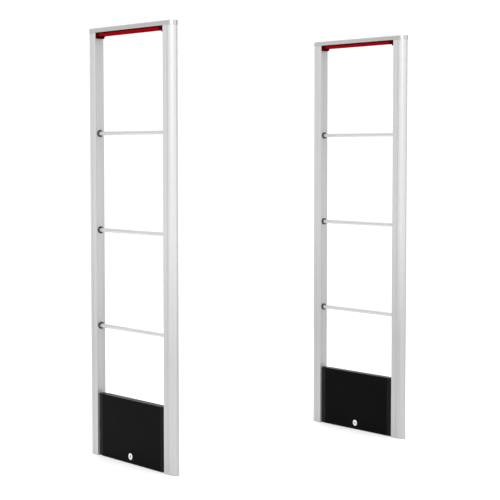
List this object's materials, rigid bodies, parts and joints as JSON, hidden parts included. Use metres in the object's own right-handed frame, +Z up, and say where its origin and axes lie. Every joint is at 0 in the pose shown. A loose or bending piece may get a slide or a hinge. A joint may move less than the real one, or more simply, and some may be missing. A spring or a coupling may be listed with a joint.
{
  "type": "security gate",
  "caption": "Pair of aluminium shop-door security pedestals with cross tubes, a red lamp under each cap and a black lift-off base cover with a lock.",
  "frame": {"origin": "on the floor, midway between the two pedestals and in the middle of their width", "axes": "+X along the width of a pedestal, -Y towards the side the locked covers face, +Z up"},
  "size_m": [0.543, 1.138, 1.58],
  "materials": {
    "post_aluminium": "satin anodised",
    "cap_aluminium": "satin with a polished end",
    "rung_aluminium": "satin",
    "zinc_steel": "zinc plated",
    "rail_nylon": "matt",
    "circuit_board": "solder mask",
    "tin_can": "bright tin",
    "sounder_black": "matt",
    "terminal_green": "matt",
    "supply_case": "grey paint",
    "gland_nylon": "matt",
    "cover_black": "semi-gloss",
    "lock_chrome": "polished",
    "lock_plug_metal": "brushed",
    "carrier_black": "matt",
    "lens_red": "clear gloss",
    "lamp_board_white": "white solder mask",
    "wire_grey": "insulation",
    "foot_plastic": "matt",
    "screw_steel": "bright zinc",
    "screw_black": "blackened",
    "standoff_brass": "plain",
    "bush_black": "matt"
  },
  "bodies": {
    "gate": {"post_left_a": "post_aluminium", "post_left_b": "post_aluminium", "post_right_a": "post_aluminium", "post_right_b": "post_aluminium", "base_plate_a": "zinc_steel", "base_plate_b": "zinc_steel", "guide_rails_a": "rail_nylon", "guide_rails_b": "rail_nylon", "chassis_plate_a": "zinc_steel", "chassis_plate_b": "zinc_steel", "main_board_a": "circuit_board", "main_board_b": "circuit_board", "shield_can_a": "tin_can", "shield_can_b": "tin_can", "sounder_a": "sounder_black", "sounder_b": "sounder_black", "terminal_block_a": "terminal_green", "terminal_block_b": "terminal_green", "power_supply_a": "supply_case", "power_supply_b": "supply_case", "cable_gland_a": "gland_nylon", "cable_gland_b": "gland_nylon", "back_cover_a": "cover_black", "back_cover_b": "cover_black", "rung_bottom_a": "rung_aluminium", "rung_bottom_b": "rung_aluminium", "rung_middle_a": "rung_aluminium", "rung_middle_b": "rung_aluminium", "rung_top_a": "rung_aluminium", "rung_top_b": "rung_aluminium", "top_cap_a": "cap_aluminium", "top_cap_b": "cap_aluminium", "lamp_carrier_a": "carrier_black", "lamp_carrier_b": "carrier_black", "lamp_lens_a": "lens_red", "lamp_lens_b": "lens_red", "lamp_board_a": "lamp_board_white", "lamp_board_b": "lamp_board_white", "antenna_loop_a": "wire_grey", "antenna_loop_b": "wire_grey", "foot_plugs": "foot_plastic", "foot_screws": "screw_steel", "back_screws": "screw_black", "standoffs": "standoff_brass", "rung_bushes": "bush_black", "cap_screws": "screw_steel", "lamp_screws": "screw_black"},
    "cover_a": {"front_cover_a": "cover_black", "lock_body_a": "lock_chrome", "lock_nut_a": "zinc_steel"},
    "cover_b": {"front_cover_b": "cover_black", "lock_body_b": "lock_chrome", "lock_nut_b": "zinc_steel"},
    "lock_a": {"lock_plug_a": "lock_plug_metal", "lock_cam_a": "zinc_steel"},
    "lock_b": {"lock_plug_b": "lock_plug_metal", "lock_cam_b": "zinc_steel"}
  },
  "joints": [
    {"name": "cover_lift_a", "type": "slide", "parent": "gate", "child": "cover_a", "axis": [0, 0, 1], "range_m": [0, 0.2]},
    {"name": "lock_turn_a", "type": "hinge", "parent": "cover_a", "child": "lock_a", "pos_m": [0, -0.55, 0.0275], "axis": [0, -1, 0], "range_deg": [0, 90]},
    {"name": "cover_lift_b", "type": "slide", "parent": "gate", "child": "cover_b", "axis": [0, 0, 1], "range_m": [0, 0.2]},
    {"name": "lock_turn_b", "type": "hinge", "parent": "cover_b", "child": "lock_b", "pos_m": [0, 0.55, 0.0275], "axis": [0, -1, 0], "range_deg": [0, 90]}
  ]
}
